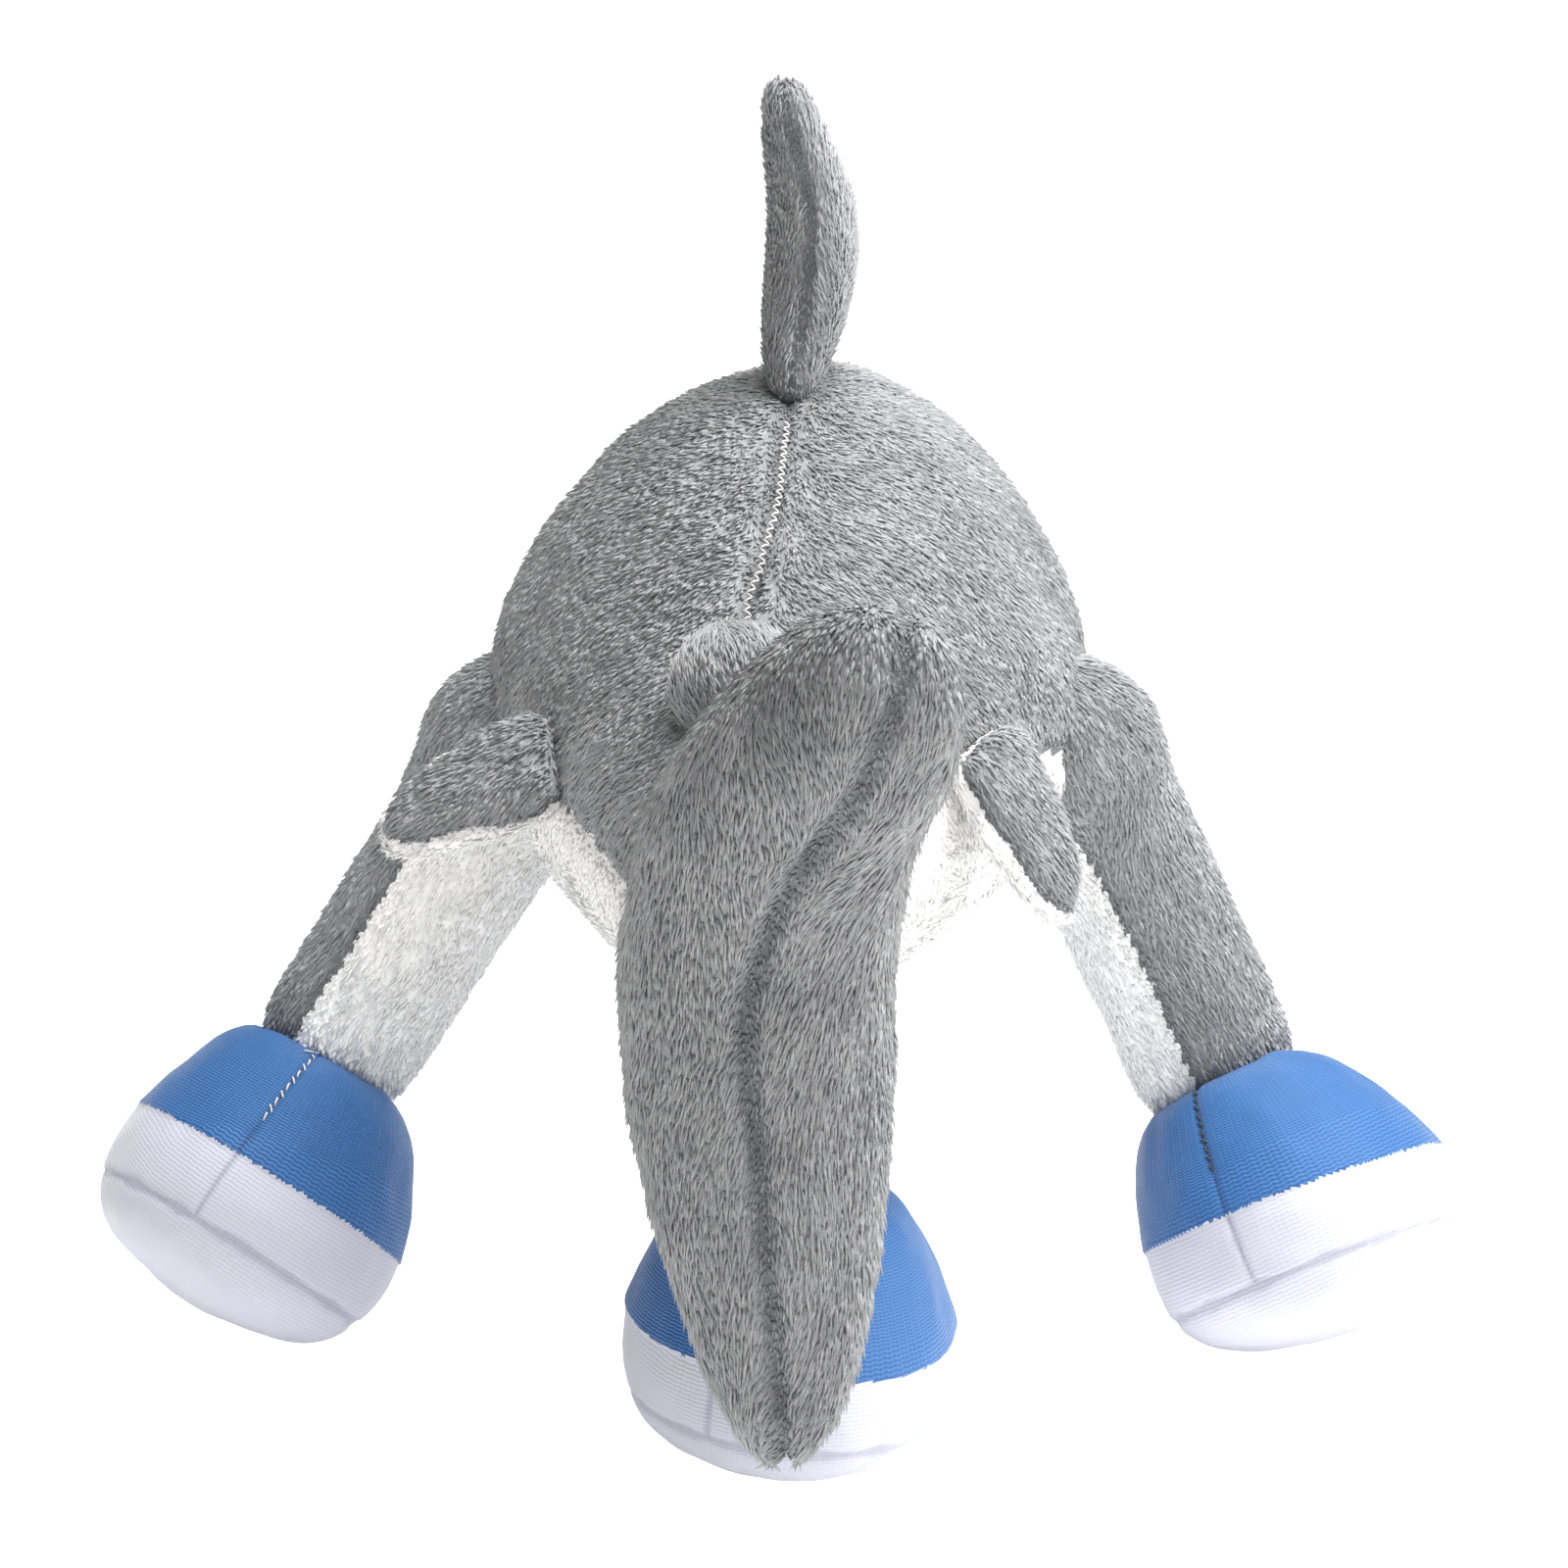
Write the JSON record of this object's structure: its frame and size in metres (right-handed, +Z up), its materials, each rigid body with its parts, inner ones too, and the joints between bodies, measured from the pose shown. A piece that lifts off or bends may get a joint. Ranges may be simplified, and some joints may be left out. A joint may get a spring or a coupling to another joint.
{
  "type": "plush shark",
  "caption": "Stuffed plush shark that stands on soft legs in ribbed knit shoes, with a crescent tail, soft fins and feet that bend at their seams.",
  "frame": {"origin": "centre of the bounding box on the floor", "axes": "+Z up, the nose points along -Y, the tail along +Y, the shark's own left is +X"},
  "size_m": [0.2808, 0.316, 0.2564],
  "materials": {
    "grey_plush": "short combed plush pile",
    "white_plush": "short combed plush pile",
    "blue_knit": "fine ribbed knit",
    "white_knit": "fine ribbed knit",
    "filling": "loose polyester fibre",
    "pale_thread": "twisted sewing thread",
    "black_plastic": "polished",
    "clear_plastic": "satin"
  },
  "bodies": {
    "torso": {"back_left_panel": "grey_plush", "back_right_panel": "grey_plush", "belly_panel": "white_plush", "body_filling": "filling", "left_eye": "black_plastic", "right_eye": "black_plastic", "left_eye_washer": "clear_plastic", "right_eye_washer": "clear_plastic", "back_seam_thread": "pale_thread"},
    "tail": {"tail_left_panel": "grey_plush", "tail_right_panel": "grey_plush", "tail_filling": "filling"},
    "dorsal_fin": {"dorsal_fin_left_panel": "grey_plush", "dorsal_fin_right_panel": "grey_plush", "dorsal_fin_filling": "filling"},
    "small_fin": {"small_fin": "grey_plush"},
    "left_side_fin": {"left_side_fin_upper_panel": "grey_plush", "left_side_fin_lower_panel": "white_plush", "left_side_fin_filling": "filling"},
    "right_side_fin": {"right_side_fin_upper_panel": "grey_plush", "right_side_fin_lower_panel": "white_plush", "right_side_fin_filling": "filling"},
    "left_front_leg": {"left_front_leg_outer_panel": "grey_plush", "left_front_leg_inner_panel": "white_plush", "left_front_leg_filling": "filling"},
    "left_front_shoe": {"left_front_shoe_upper": "blue_knit", "left_front_shoe_band": "white_knit", "left_front_shoe_sole": "white_knit", "left_front_shoe_filling": "filling"},
    "right_front_leg": {"right_front_leg_outer_panel": "grey_plush", "right_front_leg_inner_panel": "white_plush", "right_front_leg_filling": "filling"},
    "right_front_shoe": {"right_front_shoe_upper": "blue_knit", "right_front_shoe_band": "white_knit", "right_front_shoe_sole": "white_knit", "right_front_shoe_filling": "filling"},
    "rear_leg": {"rear_leg_outer_panel": "grey_plush", "rear_leg_inner_panel": "white_plush", "rear_leg_filling": "filling"},
    "rear_shoe": {"rear_shoe_upper": "blue_knit", "rear_shoe_band": "white_knit", "rear_shoe_sole": "white_knit", "rear_shoe_filling": "filling"}
  },
  "joints": [
    {"name": "tail_sway", "type": "hinge", "parent": "torso", "child": "tail", "pos_m": [-0.0018, 0.098, 0.123], "axis": [0, 0, 1], "range_deg": [-18, 16], "stiffness_Nm_per_rad": 0.4},
    {"name": "dorsal_fin_flop", "type": "hinge", "parent": "torso", "child": "dorsal_fin", "pos_m": [-0.0004, -0.04, 0.198], "axis": [0, 0.9986, -0.0523], "range_deg": [-20, 20], "stiffness_Nm_per_rad": 0.03},
    {"name": "small_fin_flop", "type": "hinge", "parent": "torso", "child": "small_fin", "pos_m": [0.0077, 0.0665, 0.152], "axis": [0, 1, 0], "range_deg": [-12, 12], "stiffness_Nm_per_rad": 0.03},
    {"name": "left_side_fin_flap", "type": "hinge", "parent": "torso", "child": "left_side_fin", "pos_m": [0.0437, 0.0445, 0.135], "axis": [0.2007, -0.7728, 0.6021], "range_deg": [-2, 30], "stiffness_Nm_per_rad": 0.03},
    {"name": "right_side_fin_flap", "type": "hinge", "parent": "torso", "child": "right_side_fin", "pos_m": [-0.0418, 0.049, 0.138], "axis": [0.4212, 0.8926, -0.1605], "range_deg": [-2, 30], "stiffness_Nm_per_rad": 0.03},
    {"name": "left_front_leg_swing", "type": "hinge", "parent": "torso", "child": "left_front_leg", "pos_m": [0.0537, -0.013, 0.1215], "axis": [1, 0, 0], "range_deg": [-16, 16], "stiffness_Nm_per_rad": 0.6},
    {"name": "left_front_ankle_tilt", "type": "hinge", "parent": "left_front_leg", "child": "left_front_shoe", "pos_m": [0.0902, -0.013, 0.0627], "axis": [0.7872, 0.153, 0.5974], "range_deg": [-10, 10], "stiffness_Nm_per_rad": 0.5},
    {"name": "right_front_leg_swing", "type": "hinge", "parent": "torso", "child": "right_front_leg", "pos_m": [-0.0553, -0.013, 0.1225], "axis": [1, 0, 0], "range_deg": [-16, 16], "stiffness_Nm_per_rad": 0.6},
    {"name": "right_front_ankle_tilt", "type": "hinge", "parent": "right_front_leg", "child": "right_front_shoe", "pos_m": [-0.0858, -0.022, 0.0593], "axis": [0.7276, -0.4372, -0.5287], "range_deg": [-10, 10], "stiffness_Nm_per_rad": 0.5},
    {"name": "rear_leg_swing", "type": "hinge", "parent": "torso", "child": "rear_leg", "pos_m": [-0.0008, 0.047, 0.092], "axis": [1, 0, 0], "range_deg": [-16, 16], "stiffness_Nm_per_rad": 0.6},
    {"name": "rear_ankle_tilt", "type": "hinge", "parent": "rear_leg", "child": "rear_shoe", "pos_m": [-0.0063, 0.052, 0.0624], "axis": [0.9344, -0.3401, 0.1064], "range_deg": [-10, 10], "stiffness_Nm_per_rad": 0.5}
  ]
}
